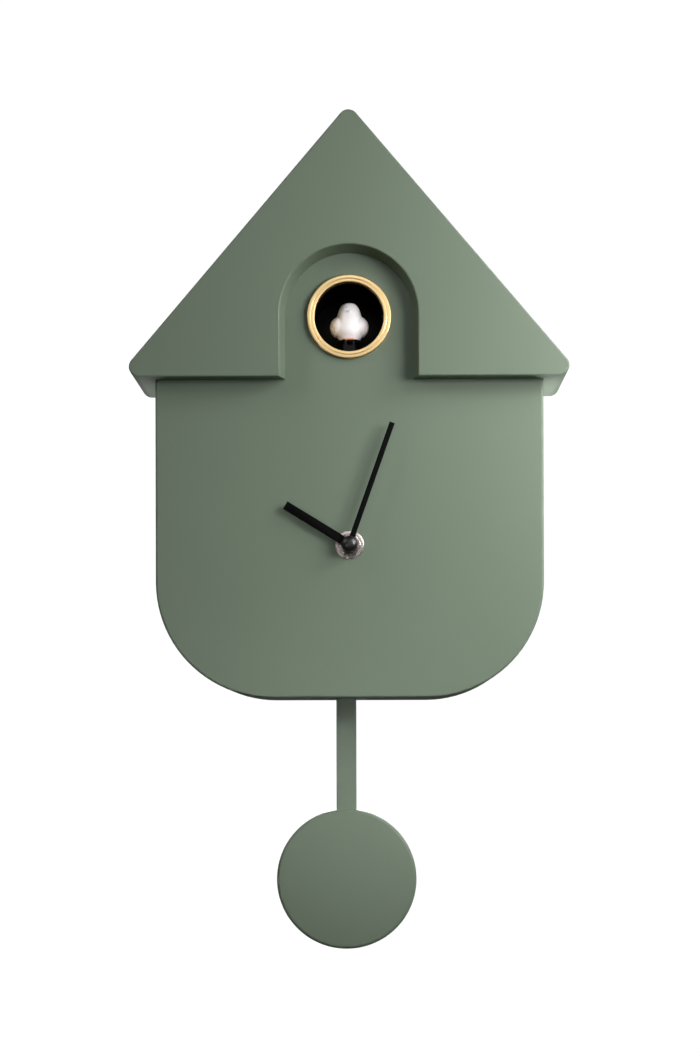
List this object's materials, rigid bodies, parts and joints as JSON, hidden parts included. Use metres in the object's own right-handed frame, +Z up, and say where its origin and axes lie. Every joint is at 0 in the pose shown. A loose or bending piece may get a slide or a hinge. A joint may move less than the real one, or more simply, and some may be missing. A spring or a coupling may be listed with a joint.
{
  "type": "cuckoo clock",
  "caption": "House-shaped wall cuckoo clock with gabled roof, bare dial with two hands, round doorway with a sliding bird, and a disc pendulum hanging below.",
  "frame": {"origin": "centre of the keyhole's round entry, on the flat back that lies against the wall", "axes": "+Z up, +Y into the wall (the front faces -Y), +X to the right seen from the front"},
  "size_m": [0.215, 0.08, 0.4123],
  "materials": {
    "case_green": "satin, fine moulded texture",
    "cover_black": "fine spark-eroded texture",
    "door_black": "fine spark-eroded texture",
    "ring_gold": "bright gold plating",
    "tunnel_black": "high gloss",
    "bird_white": "soft gloss",
    "bird_orange": "soft gloss",
    "perch_black": "gloss",
    "hand_black": "matte black paint",
    "cap_black": "high gloss",
    "nut_chrome": "bright plating",
    "washer_chrome": "bright plating",
    "bush_brass": "machined thread",
    "gasket_rubber": "matte",
    "movement_black": "fine texture",
    "gear_acetal": "as moulded",
    "arbor_white": "as moulded",
    "knob_grey": "satin",
    "spring_steel": "bright",
    "stator_steel": "stamped",
    "magnet_dark": "sintered",
    "coil_copper": "enamelled wire",
    "board_green": "solder mask",
    "crystal_can": "drawn can",
    "screw_zinc": "zinc plated",
    "rod_steel": "ground",
    "frame_grey": "as moulded",
    "motor_can": "drawn can",
    "pinion_brass": "hobbed",
    "speaker_steel": "black paint",
    "cone_paper": "pressed paper",
    "ferrite": "sintered",
    "battery_wrap": "printed film, plain",
    "contact_nickel": "nickel plated",
    "pendulum_green": "satin, fine moulded texture"
  },
  "bodies": {
    "case": {"dial_shell": "case_green", "roof_shell": "case_green", "back_cover": "cover_black", "cuckoo_ring": "ring_gold", "bird_tunnel": "tunnel_black", "roof_screws": "screw_zinc", "case_screws": "screw_zinc", "mechanism_screws": "screw_zinc", "rubber_gasket": "gasket_rubber", "movement_front": "movement_black", "movement_rear": "movement_black", "threaded_bush": "bush_brass", "washer": "washer_chrome", "fixing_nut": "nut_chrome", "stator": "stator_steel", "coil": "coil_copper", "movement_board": "board_green", "quartz_crystal": "crystal_can", "guide_rods": "rod_steel", "cuckoo_frame": "frame_grey", "cuckoo_motor": "motor_can", "speaker_frame": "speaker_steel", "speaker_cone": "cone_paper", "speaker_magnet": "ferrite", "sound_board": "board_green", "battery_box": "movement_black", "cells": "battery_wrap", "battery_contacts": "contact_nickel", "pendulum_bracket": "frame_grey", "pivot_pin": "rod_steel", "drive_coil": "coil_copper"},
    "hour": {"hour_hand": "hand_black", "hour_wheel": "arbor_white"},
    "minute": {"minute_hand": "hand_black", "minute_arbor": "arbor_white", "hand_cap": "cap_black", "clutch_spring": "spring_steel"},
    "motion": {"motion_wheel": "gear_acetal", "setting_knob": "knob_grey"},
    "centre_wheel_body": {"centre_wheel": "gear_acetal"},
    "third_wheel_body": {"third_wheel": "gear_acetal"},
    "second_wheel_body": {"second_wheel": "gear_acetal"},
    "intermediate_wheel_body": {"intermediate_wheel": "gear_acetal"},
    "rotor_body": {"rotor": "gear_acetal"},
    "bird": {"bird_body": "bird_white", "bird_wings": "bird_white", "bird_feet": "bird_orange", "bird_perch": "perch_black", "bird_carriage": "gear_acetal"},
    "drive_gear_body": {"drive_gear": "gear_acetal"},
    "motor_pinion_body": {"motor_pinion": "pinion_brass"},
    "pendulum": {"pendulum_arm": "frame_grey", "drive_magnet": "magnet_dark", "pendulum_rod": "pendulum_green", "pendulum_bob": "pendulum_green"},
    "test_button_body": {"test_button": "knob_grey"},
    "mode_switch_body": {"mode_switch": "knob_grey"},
    "volume_knob_body": {"volume_knob": "knob_grey"},
    "battery_door_body": {"battery_door": "door_black"}
  },
  "joints": [
    {"name": "minute_hand_turn", "type": "hinge", "parent": "case", "child": "minute", "pos_m": [0, 0, -0.15], "axis": [0, 1, 0], "continuous": true},
    {"name": "hour_hand_turn", "type": "hinge", "parent": "case", "child": "hour", "pos_m": [0, 0, -0.15], "axis": [0, 1, 0], "continuous": true},
    {"name": "motion_wheel_turn", "type": "hinge", "parent": "case", "child": "motion", "pos_m": [0.0144, 0, -0.15], "axis": [0, 1, 0], "continuous": true},
    {"name": "second_wheel_turn", "type": "hinge", "parent": "case", "child": "second_wheel_body", "pos_m": [-0.01622, 0, -0.14654], "axis": [0, 1, 0], "continuous": true},
    {"name": "third_wheel_turn", "type": "hinge", "parent": "case", "child": "third_wheel_body", "pos_m": [-0.0072, 0, -0.13753], "axis": [0, 1, 0], "continuous": true},
    {"name": "centre_wheel_turn", "type": "hinge", "parent": "case", "child": "centre_wheel_body", "pos_m": [0, 0, -0.15], "axis": [0, 1, 0], "continuous": true},
    {"name": "intermediate_wheel_turn", "type": "hinge", "parent": "case", "child": "intermediate_wheel_body", "pos_m": [-0.01622, 0, -0.15704], "axis": [0, 1, 0], "continuous": true},
    {"name": "rotor_turn", "type": "hinge", "parent": "case", "child": "rotor_body", "pos_m": [-0.01172, 0, -0.16484], "axis": [0, 1, 0], "continuous": true},
    {"name": "bird_slide", "type": "slide", "parent": "case", "child": "bird", "axis": [0, -1, 0], "range_m": [0, 0.022]},
    {"name": "drive_gear_turn", "type": "hinge", "parent": "case", "child": "drive_gear_body", "pos_m": [0, -0.036, -0.075], "axis": [1, 0, 0], "range_deg": [0, 262.7]},
    {"name": "motor_pinion_turn", "type": "hinge", "parent": "case", "child": "motor_pinion_body", "pos_m": [0, -0.036, -0.087], "axis": [1, 0, 0], "range_deg": [-788.1, 0]},
    {"name": "pendulum_swing", "type": "hinge", "parent": "case", "child": "pendulum", "pos_m": [-0.0022, -0.043, -0.128], "axis": [0, 1, 0], "range_deg": [-7, 7]},
    {"name": "test_button_press", "type": "slide", "parent": "case", "child": "test_button_body", "axis": [0, -1, 0], "range_m": [0, 0.001], "stiffness_N_per_m": 400, "springref_m": -0.0005},
    {"name": "mode_switch_slide", "type": "slide", "parent": "case", "child": "mode_switch_body", "axis": [1, 0, 0], "range_m": [-0.003, 0.003]},
    {"name": "volume_knob_turn", "type": "hinge", "parent": "case", "child": "volume_knob_body", "pos_m": [-0.036, 0, -0.103], "axis": [0, 1, 0], "range_deg": [-135, 135]},
    {"name": "battery_door_off", "type": "slide", "parent": "case", "child": "battery_door_body", "axis": [0, 1, 0], "range_m": [0, 0.03]}
  ],
  "couplings": [
    {"joint": "hour_hand_turn", "follows": "minute_hand_turn", "ratio": 0.083333},
    {"joint": "motion_wheel_turn", "follows": "minute_hand_turn", "ratio": -0.33333},
    {"joint": "third_wheel_turn", "follows": "second_wheel_turn", "ratio": -0.13333},
    {"joint": "centre_wheel_turn", "follows": "second_wheel_turn", "ratio": 0.016667},
    {"joint": "intermediate_wheel_turn", "follows": "second_wheel_turn", "ratio": -6},
    {"joint": "rotor_turn", "follows": "second_wheel_turn", "ratio": 30},
    {"joint": "drive_gear_turn", "follows": "bird_slide", "rad_per_m": 208.33},
    {"joint": "motor_pinion_turn", "follows": "bird_slide", "rad_per_m": -625}
  ]
}
